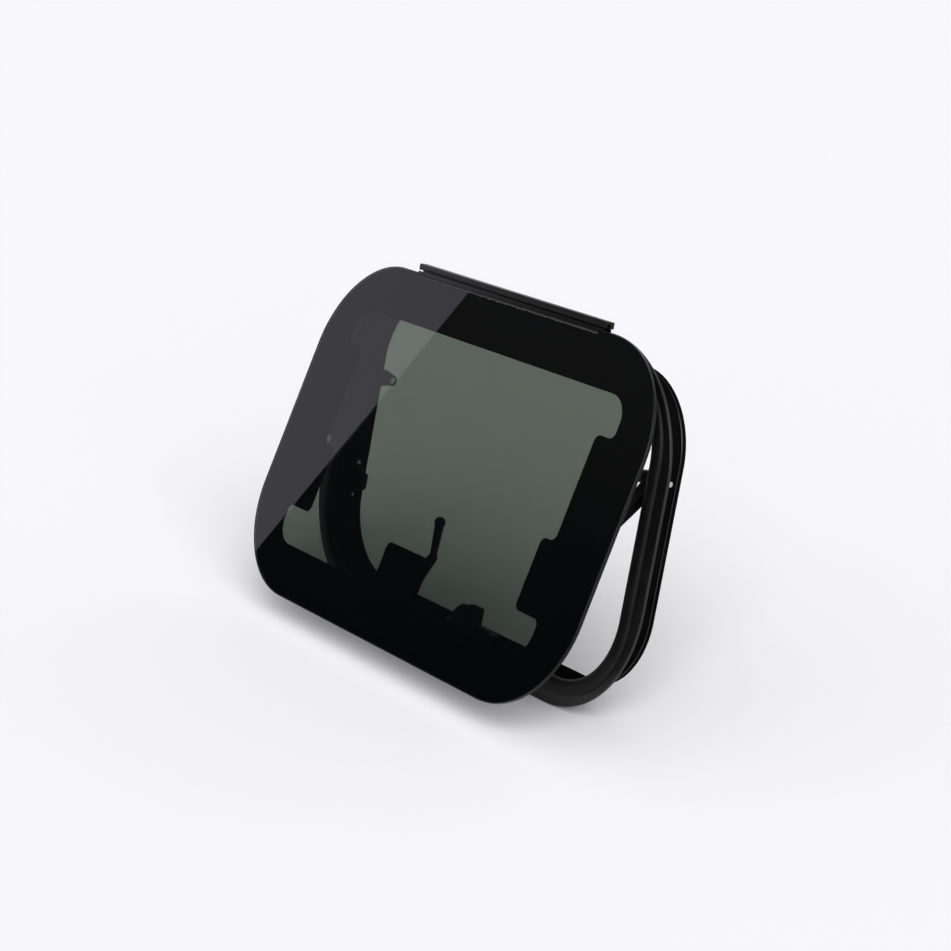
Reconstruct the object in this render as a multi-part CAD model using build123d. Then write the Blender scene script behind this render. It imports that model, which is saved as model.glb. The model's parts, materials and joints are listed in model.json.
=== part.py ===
"""Top-hung caravan window: bent aluminium frame, tinted glass sash, two slotted stays and a turn latch.

Millimetres, +Z up. X runs to the right seen from outside and +Y points into the caravan.
The origin is the middle of the opening, on the face of the flange that lies against the wall.
Sash pieces are drawn on the closed glass and then swung open about the hinge line.
"""
from build123d import *
from itertools import accumulate
import math
import os

# Glass sash
GLASS_WIDTH = 550.0
GLASS_HEIGHT = 350.0
GLASS_RADIUS = 99.0
GLASS_THICKNESS = 4.0
GLASS_ARRIS = 0.6
GLASS_GAP = 4.36             # closed glass to flange
GLASS_DROP = 1.9             # closed glass centre below the frame centre
OPEN_ANGLE = 13.5            # as photographed, from closed
FULL_ANGLE = 30.0            # widest opening, from closed

# Frame: a flange, and a spigot bent round the opening
FLANGE_SIDE_INSET = 0.3      # flange's edge inside the glass's, at the sides
FLANGE_END_INSET = 1.8       # and at the top and bottom
FLANGE_RADIUS = 116.0        # rounder than the bends, where the flange's edge draws in
FLANGE_THICKNESS = 2.5
FLANGE_REACH = 28.4          # from the opening to the flange's outer edge
OPENING_RADIUS = 74.0
SPIGOT_DEPTH = 33.0          # how far the frame goes into the wall
SPIGOT_WALL = 2.5
REAR_LIP_REACH = 2.2         # stands out of the spigot at its inner end
REAR_LIP_DEPTH = 5.5
EDGE_BREAK = 0.8

# Bulb seal on the flange
SEAL_INSET = 0.5
SEAL_WIDTH = 15.0
SEAL_HEIGHT = 3.8
SEAL_SHOULDER = 1.2
SEAL_HAUNCH = 2.9            # height where the sides turn to the crown
SEAL_HAUNCH_IN = 2.0
SEAL_CROWN_IN = 5.0          # crown's edges inside the seal's

# Printed black border on the inner face of the glass
FRIT_THICKNESS = 0.2
FRIT_INSET = 1.0
BORDER_END = 50.5            # above and below the clear part
BORDER_SIDE = 51.0           # beside the upper lobes
UPPER_LOBE_HEIGHT = 38.5
UPPER_LOBE_REACH = 25.0      # past the side of the clear part
BLOCK_HEIGHT = 70.0          # wide border beside the lower fittings
BLOCK_REACH = 19.0
LOWER_LOBE_HEIGHT = 37.5
LOWER_LOBE_REACH = 38.0      # past the block
TONGUE_WIDTH = 74.0
TONGUE_HEIGHT = 45.5
LOBE_RADIUS = 24.0
STEP_RADIUS = 7.0
ROUND_SHARE = 0.48           # most of a step that one of its two rounds may take

# Hinge: a hooded socket on the frame and a beaded leaf on the glass
HINGE_LENGTH = 312.0
HINGE_LEAF_SHORTER = 5.0     # sash leaf's ends inside the hood's
HINGE_ABOVE_GLASS = 5.7      # hinge line above the closed glass's top edge
BEAD_RADIUS = 2.0
BEAD_CLEARANCE = 0.3
HOOD_FRONT_WALL = 0.9        # in front of the socket
HOOD_ABOVE = 4.0             # hinge line to the hood's top
HOOD_BELOW = 2.4             # hinge line to the hood's bottom
HOOD_ROUND = 1.0
HOOD_MOUTH_REAR = 27.0       # socket mouth, in degrees from straight down
HOOD_MOUTH_FRONT = 57.0
FRAME_LEAF_THICKNESS = 1.5
FRAME_LEAF_GAP = 0.7         # leaf's lower edge to the seal
SASH_LEAF_THICKNESS = 1.5
SASH_LEAF_DROP = 9.0         # down the glass from its top edge
SASH_BRIDGE_GAP = 0.3        # over the glass's top edge
SASH_BRIDGE_THICKNESS = 1.2
SASH_LIP_THICKNESS = 1.0     # in front of the glass
SASH_LIP_DROP = 2.2          # down the glass from its top edge

# Stays: a post on each jamb, a swinging arm and a slotted rail on the glass
STAY_PIVOT_IN = 19.5
STAY_PIVOT_BELOW = 124.3     # below the hinge line
STAY_ARM_LENGTH = 89.0
STAY_ARM_THICKNESS = 8.0
STAY_ARM_INSET = 16.3        # jamb to the middle of the arm's thickness
STAY_ARM_BREAK = 0.5
STAY_EYE_RADIUS = 8.0
STAY_TOE_RADIUS = 4.5
STAY_POCKET_DEPTH = 2.2
STAY_POCKET_HALF_WIDTH = 2.4
STAY_POCKET_MARGIN = 4.8     # pocket's ends to the eye and the toe
STAY_STUD_RADIUS = 4.0
STAY_STUD_CLEARANCE = 0.08
STAY_POST_GAP = 1.0          # arm to post shoulder and arm to knob
STAY_POST_RADIUS = 7.0
STAY_PLATE_WIDTH = 20.0
STAY_PLATE_LENGTH = 28.0
STAY_PLATE_CORNER = 9.0
STAY_PLATE_THICKNESS = 2.0
STAY_STUD_GRIP = 8.0         # stud's length inside the knob
STAY_KNOB_RADIUS = 8.5
STAY_KNOB_TIP_RADIUS = 5.5
STAY_KNOB_LENGTH = 18.0
STAY_KNOB_CLEARANCE = 0.05   # knob's bore over the stud
PIN_RADIUS = 2.5
PIN_HEAD_RADIUS = 5.0
PIN_HEAD_THICKNESS = 3.0
PIN_DEPTH = 16.0             # pin line behind the glass's outer face
RAIL_THICKNESS = 2.5
RAIL_GAP = 2.0               # rail to arm
RAIL_FOOT_WIDTH = 16.0
RAIL_FOOT_THICKNESS = 2.5
RAIL_END_MARGIN = 8.0
RAIL_CREST_MARGIN = 5.0      # past the slot, away from the glass
RAIL_BEND = 2.5
SLOT_PLAY = 2.4

# Lugs on the jambs
SIDE_PLATE_ABOVE_SILL = 92.0
SIDE_PLATE_IN = 21.0
SIDE_PLATE_LENGTH = 36.0
SIDE_PLATE_WIDTH = 14.0
SIDE_PLATE_CORNER = 3.5
SIDE_PLATE_THICKNESS = 2.0
SIDE_LUG_REACH = 19.0        # from the jamb
SIDE_LUG_DROP = 3.0          # below the plate's middle
SIDE_LUG_HEIGHT = 23.0
SIDE_LUG_WIDTH = 12.5
SIDE_LUG_TAPER = 8.0

# Keeper on the sill: ramp, hump, notch, block and ledge, from left to right
KEEPER_PLACE = 13.0          # right of the centre line
KEEPER_IN = 7.8              # middle of the upright, from the wall face
KEEPER_THICKNESS = 6.0
KEEPER_RAMP = 6.0
KEEPER_RISE = 11.0
KEEPER_HUMP = 10.0
KEEPER_NOTCH = 3.0
KEEPER_BLOCK = 16.5
KEEPER_LEDGE = 14.5
KEEPER_KNEE_HEIGHT = 12.8    # where the ramp eases
KEEPER_HUMP_HEIGHT = 21.3
KEEPER_HUMP_ROUND = 5.0
KEEPER_NOTCH_DEPTH = 1.5
KEEPER_BLOCK_HEIGHT = 24.3
KEEPER_LEDGE_HEIGHT = 7.0
KEEPER_FOOT_MARGIN = 3.5     # foot past the upright at both ends
KEEPER_FOOT_IN = 12.0        # middle of the foot, from the wall face
KEEPER_FOOT_DEPTH = 22.0
KEEPER_FOOT_THICKNESS = 2.5
KEEPER_FOOT_CORNER = 5.0

# Turn latch at the bottom of the glass
LATCH_UP = 72.0              # pivot above the glass's bottom edge
LATCH_ASIDE = 5.0            # pivot left of the centre line
LATCH_BASE_WIDTH = 44.0
LATCH_BASE_TOP = 18.0        # pivot to the base's top edge
LATCH_BASE_BOTTOM = 10.0
LATCH_BASE_HEIGHT = 17.0
LATCH_BASE_TAPER = 8.0
LATCH_BASE_CORNER = 7.2
LATCH_BASE_CROWN = 2.0
LATCH_LEAN = 9.3             # lever's turn from its upright stop, as photographed
LATCH_PIVOT_RADIUS = 4.0
LATCH_PIVOT_CLEARANCE = 0.08
LATCH_HUB_RADIUS = 7.0
LATCH_HUB_GAP = 0.6
LATCH_HUB_HEIGHT = 9.0
LATCH_CAP_RADIUS = 4.8
LATCH_CAP_HEIGHT = 1.6
LATCH_CAP_BREAK = 0.6
LEVER_ELBOW_ASIDE = 16.0     # pivot to elbow, with the lever at its upright stop
LEVER_ELBOW_UP = 23.1
LEVER_BALL_ASIDE = 12.0      # pivot to ball
LEVER_BALL_UP = 57.5
LEVER_ROOT_RADIUS = 5.9
LEVER_ELBOW_RADIUS = 3.3
LEVER_NECK_RADIUS = 4.6      # handle where it runs into the ball
LEVER_BALL_RADIUS = 5.5
CAM_LENGTH = 28.0
CAM_RADIUS = 5.0
CAM_THICKNESS = 4.0

# Places that follow from the sizes above
FLANGE_WIDTH = GLASS_WIDTH - 2 * FLANGE_SIDE_INSET
FLANGE_HEIGHT = GLASS_HEIGHT - 2 * FLANGE_END_INSET
OPENING_WIDTH = FLANGE_WIDTH - 2 * FLANGE_REACH
OPENING_HEIGHT = FLANGE_HEIGHT - 2 * FLANGE_REACH
HALF_OPENING = OPENING_WIDTH / 2
HALF_RISE = OPENING_HEIGHT / 2
FLANGE_FRONT = -FLANGE_THICKNESS
GLASS_INNER = FLANGE_FRONT - GLASS_GAP
GLASS_OUTER = GLASS_INNER - GLASS_THICKNESS
GLASS_TOP = GLASS_HEIGHT / 2 - GLASS_DROP
SASH_FACE = GLASS_THICKNESS + FRIT_THICKNESS     # where fittings are bonded, behind the outer face
HINGE_OUT = -(GLASS_OUTER + SASH_FACE + SASH_LEAF_THICKNESS / 2)     # the leaf hangs straight from its bead
HINGE_UP = GLASS_TOP + HINGE_ABOVE_GLASS
HINGE_LINE = Axis((0, -HINGE_OUT, HINGE_UP), (-1, 0, 0))
STAY_PIVOT_UP = HINGE_UP - STAY_PIVOT_BELOW
STAY_ARM_PLACE = HALF_OPENING - STAY_ARM_INSET
SIDE_PLATE_UP = SIDE_PLATE_ABOVE_SILL - HALF_RISE
LATCH_DOWN = GLASS_HEIGHT / 2 - LATCH_UP
LEVER_THICKNESS = 2 * LEVER_ELBOW_RADIUS
STANDING = (Align.CENTER, Align.CENTER, Align.MIN)
# On the closed glass: x to the right, y down the glass, z into the caravan from the outer face
GLASS = Plane(origin=(0, GLASS_OUTER, -GLASS_DROP), x_dir=(1, 0, 0), z_dir=(0, 1, 0))


def swing_open(shape):
    """Turn a piece of the closed sash about the hinge line to the open angle."""
    return shape.rotate(HINGE_LINE, OPEN_ANGLE)


def on_sash(shape):
    """Carry a piece drawn in glass coordinates onto the open sash."""
    return swing_open(GLASS * shape)


def mirrored(shape):
    """The same piece on the other side of the centre line."""
    return mirror(shape, about=Plane.YZ)


def bent(section):
    """Sweep a section, drawn with x outwards and y into the wall, round the opening."""
    top, bottom = (0, 0, HALF_RISE), (0, 0, -HALF_RISE)
    left_corners = [(-HALF_OPENING, 0, rise) for rise in (HALF_RISE, -HALF_RISE)]
    left_line = FilletPolyline(top, *left_corners, bottom, radius=OPENING_RADIUS)
    start = Plane(origin=top, x_dir=(0, 0, 1), z_dir=(-1, 0, 0))
    left_half = sweep(start * section, path=left_line)
    return left_half + mirrored(left_half)


def flange_plate():
    """Flange round the opening, with broken front edges."""
    outline = RectangleRounded(FLANGE_WIDTH, FLANGE_HEIGHT, FLANGE_RADIUS)
    opening = RectangleRounded(OPENING_WIDTH, OPENING_HEIGHT, OPENING_RADIUS)
    plate = extrude(Plane.XZ * (outline - opening), amount=FLANGE_THICKNESS)
    return chamfer(plate.faces().sort_by(Axis.Y)[0].edges(), EDGE_BREAK)


def spigot_section():
    """Wall of the spigot, with the lip round its inner end."""
    lip = SPIGOT_WALL + REAR_LIP_REACH
    lip_front = SPIGOT_DEPTH - REAR_LIP_DEPTH
    section = make_face(Polyline(
        (0, 0), (SPIGOT_WALL, 0), (SPIGOT_WALL, lip_front), (lip, lip_front), (lip, SPIGOT_DEPTH),
        (0, SPIGOT_DEPTH), close=True,
    ))
    lip_edges = section.vertices().sort_by_distance((lip, lip_front + REAR_LIP_DEPTH / 2))[:2]
    return chamfer(lip_edges, EDGE_BREAK)


def seal_section():
    """Low bulb with sloping sides that the closed glass meets."""
    left = SEAL_INSET
    right = SEAL_INSET + SEAL_WIDTH
    shoulder = FLANGE_FRONT - SEAL_SHOULDER
    crown = FLANGE_FRONT - SEAL_HEIGHT
    haunch = FLANGE_FRONT - SEAL_HAUNCH
    return make_face(Polyline(
        (left, FLANGE_FRONT), (right, FLANGE_FRONT), (right, shoulder), (right - SEAL_HAUNCH_IN, haunch),
        (right - SEAL_CROWN_IN, crown), (left + SEAL_CROWN_IN, crown), (left + SEAL_HAUNCH_IN, haunch),
        (left, shoulder), close=True,
    ))


def along_hinge(section, length):
    """Extrude a section drawn in Y and Z evenly to both sides of the centre line."""
    return extrude(Plane.YZ * section, amount=length / 2, both=True)


def hinge_block(front, rear, low, high):
    """Rectangle of a hinge section between two depths from the wall face and two heights."""
    return Location(((front + rear) / 2, (low + high) / 2)) * Rectangle(rear - front, high - low)


def hinge_frame_leaf():
    """Leaf on the flange whose hood, flush with the wall face, holds the bead over the glass's top edge."""
    centre = Location((-HINGE_OUT, HINGE_UP))
    socket = BEAD_RADIUS + BEAD_CLEARANCE
    hood_front = -HINGE_OUT - socket - HOOD_FRONT_WALL
    hood = hinge_block(hood_front, 0, HINGE_UP - HOOD_BELOW, HINGE_UP + HOOD_ABOVE)
    hood = fillet(hood.vertices().sort_by(Axis.Y)[-2:], HOOD_ROUND)
    far = 4 * HOOD_ABOVE
    rear = math.radians(HOOD_MOUTH_REAR)
    front = math.radians(HOOD_MOUTH_FRONT)
    mouth = centre * make_face(Polyline(
        (0, 0), (far * math.sin(rear), -far * math.cos(rear)),
        (-far * math.sin(front), -far * math.cos(front)), close=True,
    ))
    leaf_bottom = HALF_RISE + SEAL_INSET + SEAL_WIDTH + FRAME_LEAF_GAP
    leaf = hinge_block(FLANGE_FRONT - FRAME_LEAF_THICKNESS, FLANGE_FRONT, leaf_bottom, HINGE_UP)
    return along_hinge(hood - mouth + leaf - centre * Circle(socket), HINGE_LENGTH)


def hinge_sash_leaf():
    """Leaf bonded behind the glass, hung from its bead, with a lip over the glass's top edge."""
    bead = Location((-HINGE_OUT, HINGE_UP)) * Circle(BEAD_RADIUS)
    web_front = GLASS_OUTER + SASH_FACE
    web_rear = web_front + SASH_LEAF_THICKNESS
    web = hinge_block(web_front, web_rear, GLASS_TOP - SASH_LEAF_DROP, HINGE_UP)
    lip_front = GLASS_OUTER - SASH_LIP_THICKNESS
    bridge_bottom = GLASS_TOP + SASH_BRIDGE_GAP
    bridge_top = bridge_bottom + SASH_BRIDGE_THICKNESS
    bridge = hinge_block(lip_front, web_rear, bridge_bottom, bridge_top)
    lip = hinge_block(lip_front, GLASS_OUTER, GLASS_TOP - SASH_LIP_DROP, bridge_top)
    return swing_open(along_hinge(bead + web + bridge + lip, HINGE_LENGTH - 2 * HINGE_LEAF_SHORTER))


def glass_pane():
    """Toughened pane with rounded corners and a ground arris on both edges."""
    pane = extrude(RectangleRounded(GLASS_WIDTH, GLASS_HEIGHT, GLASS_RADIUS), amount=GLASS_THICKNESS)
    rims = pane.faces().filter_by(Axis.Z).edges()
    return on_sash(chamfer(rims, GLASS_ARRIS))


def view_outline():
    """Clear part of the glass: lobes at the corners, steps beside the fittings and a tongue for the latch."""
    rise = GLASS_HEIGHT / 2 - BORDER_END
    upper = GLASS_WIDTH / 2 - BORDER_SIDE
    side = upper - UPPER_LOBE_REACH
    block = side - BLOCK_REACH
    lower = block + LOWER_LOBE_REACH
    tongue = TONGUE_WIDTH / 2
    block_end = rise - LOWER_LOBE_HEIGHT
    side_end = block_end - BLOCK_HEIGHT
    right_side = [
        (0, -rise), (upper, -rise), (upper, UPPER_LOBE_HEIGHT - rise), (side, UPPER_LOBE_HEIGHT - rise),
        (side, side_end), (block, side_end), (block, block_end), (lower, block_end), (lower, rise),
        (tongue, rise), (tongue, rise - TONGUE_HEIGHT), (0, rise - TONGUE_HEIGHT),
    ]
    half = make_face(Polyline(*right_side, close=True))
    whole = half + mirror(half, about=Plane.YZ)
    centre = (0, 0)
    step_round = min(STEP_RADIUS, ROUND_SHARE * BLOCK_REACH)
    lobe_room = min(UPPER_LOBE_HEIGHT, LOWER_LOBE_HEIGHT) - step_round
    lobe_round = min(LOBE_RADIUS, 2 * ROUND_SHARE * lobe_room)
    steps = [v for v in whole.vertices().sort_by_distance(centre)[:-4] if abs(v.X) > STEP_RADIUS]
    whole = fillet(steps, step_round)
    lobe_corners = whole.vertices().sort_by_distance(centre)[-4:]
    return fillet(lobe_corners, lobe_round)


def frit_border():
    """Black print from just inside the glass's edge to the clear part."""
    outside = RectangleRounded(GLASS_WIDTH - 2 * FRIT_INSET, GLASS_HEIGHT - 2 * FRIT_INSET, GLASS_RADIUS - FRIT_INSET)
    layer = extrude(outside - view_outline(), amount=FRIT_THICKNESS)
    return on_sash(Location((0, 0, GLASS_THICKNESS)) * layer)


def stay_reach(angle):
    """Where the stay's pin is when the sash stands at an angle from closed.

    Returns the pin's distance down the glass from its centre and the arm's angle from straight down.
    """
    pivot_out = STAY_PIVOT_IN + HINGE_OUT
    pivot_down = HINGE_UP - STAY_PIVOT_UP
    sine = math.sin(math.radians(angle))
    cosine = math.cos(math.radians(angle))
    pin_in = GLASS_OUTER + PIN_DEPTH + HINGE_OUT
    along_pivot = -sine * pivot_out + cosine * pivot_down
    across_pivot = cosine * pivot_out + sine * pivot_down
    along = along_pivot + math.sqrt(STAY_ARM_LENGTH**2 - (across_pivot - pin_in) ** 2)
    out = pivot_out - (-sine * along + cosine * pin_in)
    down = (cosine * along + sine * pin_in) - pivot_down
    return along - HINGE_UP - GLASS_DROP, math.degrees(math.atan2(out, down))


def stay_post():
    """Plate on the right jamb with a shouldered stud pointing across the opening."""
    plate_face = HALF_OPENING - STAY_PLATE_THICKNESS
    shoulder_end = STAY_ARM_PLACE + STAY_ARM_THICKNESS / 2 + STAY_POST_GAP
    stud_end = STAY_ARM_PLACE - STAY_ARM_THICKNESS / 2 - STAY_POST_GAP - STAY_STUD_GRIP
    jamb = Plane(origin=(HALF_OPENING, STAY_PIVOT_IN, STAY_PIVOT_UP), x_dir=(0, 1, 0), z_dir=(-1, 0, 0))
    plate = extrude(RectangleRounded(STAY_PLATE_WIDTH, STAY_PLATE_LENGTH, STAY_PLATE_CORNER),
                    amount=STAY_PLATE_THICKNESS)
    shoulder = Location((0, 0, STAY_PLATE_THICKNESS)) * extrude(Circle(STAY_POST_RADIUS),
                                                                amount=plate_face - shoulder_end)
    stud = extrude(Circle(STAY_STUD_RADIUS), amount=HALF_OPENING - stud_end)
    return jamb * (plate + shoulder + stud)


def stay_knob():
    """Tapered thumb knob that clamps the right arm on its stud."""
    knob_face = STAY_ARM_PLACE - STAY_ARM_THICKNESS / 2 - STAY_POST_GAP
    start = Plane(origin=(knob_face, STAY_PIVOT_IN, STAY_PIVOT_UP), x_dir=(0, 1, 0), z_dir=(-1, 0, 0))
    body = Cone(STAY_KNOB_RADIUS, STAY_KNOB_TIP_RADIUS, STAY_KNOB_LENGTH, align=STANDING)
    body = chamfer(body.edges().filter_by(GeomType.CIRCLE), EDGE_BREAK)
    socket = extrude(Circle(STAY_STUD_RADIUS + STAY_KNOB_CLEARANCE), amount=STAY_STUD_GRIP)
    return start * (body - socket)


def arm_plane():
    """Right arm's own plane: x towards the outside of the wall, y down, z from the arm's outer face inwards."""
    outer = STAY_ARM_PLACE + STAY_ARM_THICKNESS / 2
    return Plane(origin=(outer, STAY_PIVOT_IN, STAY_PIVOT_UP), x_dir=(0, -1, 0), z_dir=(-1, 0, 0))


def swing_arm(shape):
    """Turn a piece of the hanging right arm to the place that the open sash gives it."""
    pivot = Axis((0, STAY_PIVOT_IN, STAY_PIVOT_UP), (-1, 0, 0))
    return (arm_plane() * shape).rotate(pivot, stay_reach(OPEN_ANGLE)[1])


def stay_arm():
    """Tapered arm with an eye on the stud, a toe at the pin and a pocket in each face."""
    toe = Location((0, -STAY_ARM_LENGTH))
    outline = make_hull((Circle(STAY_EYE_RADIUS) + toe * Circle(STAY_TOE_RADIUS)).edges())
    arm = extrude(outline, amount=STAY_ARM_THICKNESS)
    arm = chamfer(arm.faces().filter_by(Axis.Z).edges(), STAY_ARM_BREAK)
    pocket_top = -STAY_EYE_RADIUS - STAY_POCKET_MARGIN
    pocket_bottom = -STAY_ARM_LENGTH + STAY_TOE_RADIUS + STAY_POCKET_MARGIN
    pocket = Location((0, (pocket_top + pocket_bottom) / 2)) * SlotOverall(
        pocket_top - pocket_bottom, 2 * STAY_POCKET_HALF_WIDTH, rotation=90
    )
    for floor in (0, STAY_ARM_THICKNESS - STAY_POCKET_DEPTH):
        arm = arm - Location((0, 0, floor)) * extrude(pocket, amount=STAY_POCKET_DEPTH)
    eye = extrude(Circle(STAY_STUD_RADIUS + STAY_STUD_CLEARANCE), amount=STAY_ARM_THICKNESS)
    return swing_arm(arm - eye)


def stay_pin():
    """Headed pin from the right arm's toe through the slotted rail."""
    head_start = STAY_ARM_THICKNESS + 2 * RAIL_GAP + RAIL_THICKNESS
    toe = Location((0, -STAY_ARM_LENGTH, STAY_ARM_THICKNESS))
    shank = toe * extrude(Circle(PIN_RADIUS), amount=head_start - STAY_ARM_THICKNESS)
    head = Location((0, -STAY_ARM_LENGTH, head_start)) * extrude(Circle(PIN_HEAD_RADIUS), amount=PIN_HEAD_THICKNESS)
    head = chamfer(head.edges().filter_by(GeomType.CIRCLE).sort_by(Axis.Z)[-1], EDGE_BREAK)
    return swing_arm(shank + head)


def stay_rail():
    """Angle bonded to the right of the glass, with the slot that the pin runs in."""
    closed = stay_reach(0)[0]
    full = stay_reach(FULL_ANGLE)[0]
    top = full - PIN_RADIUS - RAIL_END_MARGIN
    bottom = closed + PIN_RADIUS + RAIL_END_MARGIN
    outer = STAY_ARM_PLACE - STAY_ARM_THICKNESS / 2 - RAIL_GAP
    inner = outer - RAIL_THICKNESS
    crest = PIN_DEPTH + PIN_RADIUS + SLOT_PLAY + RAIL_CREST_MARGIN
    foot_edge = inner - RAIL_FOOT_WIDTH
    angle = Polyline(
        (foot_edge, SASH_FACE), (outer, SASH_FACE), (outer, crest), (inner, crest),
        (inner, SASH_FACE + RAIL_FOOT_THICKNESS), (foot_edge, SASH_FACE + RAIL_FOOT_THICKNESS), close=True,
    )
    section = Plane(origin=(0, top, 0), x_dir=(1, 0, 0), z_dir=(0, -1, 0)) * make_face(angle)
    rail = extrude(section, amount=-(bottom - top))
    inside_corner = rail.edges().filter_by(Axis.Y).sort_by_distance((inner, (top + bottom) / 2,
                                                                     SASH_FACE + RAIL_FOOT_THICKNESS))[0]
    rail = fillet(inside_corner, RAIL_BEND)
    slot_width = 2 * (PIN_RADIUS + SLOT_PLAY)
    slot_plane = Plane(origin=(outer, (closed + full) / 2, PIN_DEPTH), x_dir=(0, 1, 0), z_dir=(-1, 0, 0))
    slot = slot_plane * SlotCenterToCenter(closed - full + 2 * SLOT_PLAY, slot_width)
    return on_sash(rail - extrude(slot, amount=RAIL_THICKNESS))


def side_lug():
    """Plate on the right jamb with a tapered oblong lug that points across the opening."""
    jamb = Plane(origin=(HALF_OPENING, SIDE_PLATE_IN, SIDE_PLATE_UP), x_dir=(0, 1, 0), z_dir=(-1, 0, 0))
    plate = extrude(RectangleRounded(SIDE_PLATE_WIDTH, SIDE_PLATE_LENGTH, SIDE_PLATE_CORNER),
                    amount=SIDE_PLATE_THICKNESS)
    foot = Location((0, SIDE_LUG_DROP)) * SlotOverall(SIDE_LUG_HEIGHT, SIDE_LUG_WIDTH, rotation=90)
    lug = extrude(foot, amount=SIDE_LUG_REACH, taper=SIDE_LUG_TAPER)
    lug = chamfer(lug.faces().sort_by(Axis.Z)[-1].edges(), EDGE_BREAK)
    return jamb * (plate + lug)


def latch_keeper():
    """Bracket on the sill whose humped upright the latch's cam turns behind."""
    sill = -HALF_RISE
    lengths = [KEEPER_RAMP, KEEPER_RISE, KEEPER_HUMP, KEEPER_NOTCH, KEEPER_BLOCK, KEEPER_LEDGE]
    length = sum(lengths)
    start, knee, hump, notch, block, ledge, end = (x - length / 2 for x in accumulate([0] + lengths))
    notch_floor = KEEPER_HUMP_HEIGHT - KEEPER_NOTCH_DEPTH
    face = make_face(Polyline(
        (start, 0), (end, 0), (end, KEEPER_LEDGE_HEIGHT), (ledge, KEEPER_LEDGE_HEIGHT),
        (ledge, KEEPER_BLOCK_HEIGHT), (block, KEEPER_BLOCK_HEIGHT), (block, notch_floor), (notch, notch_floor),
        (notch, KEEPER_HUMP_HEIGHT), (hump, KEEPER_HUMP_HEIGHT), (knee, KEEPER_KNEE_HEIGHT), close=True,
    ))
    hump_start = face.vertices().sort_by_distance((hump, KEEPER_HUMP_HEIGHT))[0]
    face = fillet(hump_start, KEEPER_HUMP_ROUND)
    front = Plane(origin=(KEEPER_PLACE, KEEPER_IN + KEEPER_THICKNESS / 2, sill), x_dir=(1, 0, 0), z_dir=(0, -1, 0))
    foot = extrude(RectangleRounded(length + 2 * KEEPER_FOOT_MARGIN, KEEPER_FOOT_DEPTH, KEEPER_FOOT_CORNER),
                   amount=KEEPER_FOOT_THICKNESS)
    foot = Location((KEEPER_PLACE, KEEPER_FOOT_IN, sill)) * foot
    return foot + extrude(front * face, amount=KEEPER_THICKNESS)


def latch_base():
    """Housing bonded behind the frit tongue, with the pivot that carries the lever."""
    length = LATCH_BASE_TOP + LATCH_BASE_BOTTOM
    middle = (LATCH_BASE_BOTTOM - LATCH_BASE_TOP) / 2
    outline = Location((0, middle)) * RectangleRounded(LATCH_BASE_WIDTH, length, LATCH_BASE_CORNER)
    block = extrude(outline, amount=LATCH_BASE_HEIGHT, taper=LATCH_BASE_TAPER)
    block = chamfer(block.faces().sort_by(Axis.Z)[-1].edges(), LATCH_BASE_CROWN)
    pivot_height = LATCH_BASE_HEIGHT + LATCH_HUB_GAP + LATCH_HUB_HEIGHT + LATCH_HUB_GAP
    pivot = extrude(Circle(LATCH_PIVOT_RADIUS), amount=pivot_height)
    cap = Location((0, 0, pivot_height)) * extrude(Circle(LATCH_CAP_RADIUS), amount=LATCH_CAP_HEIGHT)
    cap = chamfer(cap.edges().filter_by(GeomType.CIRCLE).sort_by(Axis.Z)[-1], LATCH_CAP_BREAK)
    return on_sash(Location((-LATCH_ASIDE, LATCH_DOWN, SASH_FACE)) * (block + pivot + cap))


def turned_lever(shape):
    """Put a piece drawn on the lever, with the pivot at its origin and the handle up, onto the sash."""
    hub_floor = SASH_FACE + LATCH_BASE_HEIGHT + LATCH_HUB_GAP
    return on_sash(Location((-LATCH_ASIDE, LATCH_DOWN, hub_floor)) * Rot(0, 0, -LATCH_LEAN) * shape)


def latch_lever():
    """Hub, crank, round handle with a ball end, and at the hub's top the cam that turns behind the sill keeper."""
    hub = extrude(Circle(LATCH_HUB_RADIUS), amount=LATCH_HUB_HEIGHT)
    elbow = Location((LEVER_ELBOW_ASIDE, -LEVER_ELBOW_UP)) * Circle(LEVER_ELBOW_RADIUS)
    crank_outline = make_hull((Circle(LEVER_ROOT_RADIUS) + elbow).edges())
    crank_floor = LATCH_HUB_HEIGHT - LEVER_THICKNESS
    crank = Location((0, 0, crank_floor)) * extrude(crank_outline, amount=LEVER_THICKNESS)
    handle_level = crank_floor + LEVER_THICKNESS / 2
    handle_start = Vector(LEVER_ELBOW_ASIDE, -LEVER_ELBOW_UP, handle_level)
    handle_end = Vector(LEVER_BALL_ASIDE, -LEVER_BALL_UP, handle_level)
    handle_run = handle_end - handle_start
    handle = Plane(origin=handle_start, z_dir=handle_run) * Cone(
        LEVER_ELBOW_RADIUS, LEVER_NECK_RADIUS, handle_run.length, align=STANDING
    )
    ball = Location(handle_end) * Sphere(LEVER_BALL_RADIUS)
    cam_end = Location((-CAM_LENGTH + CAM_RADIUS, 0)) * Circle(CAM_RADIUS)
    cam = Location((0, 0, LATCH_HUB_HEIGHT - CAM_THICKNESS)) * extrude(
        make_hull((Circle(LATCH_HUB_RADIUS) + cam_end).edges()), amount=CAM_THICKNESS
    )
    bore = extrude(Circle(LATCH_PIVOT_RADIUS + LATCH_PIVOT_CLEARANCE), amount=LATCH_HUB_HEIGHT)
    return turned_lever(hub + crank + handle + ball + cam - bore)


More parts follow.
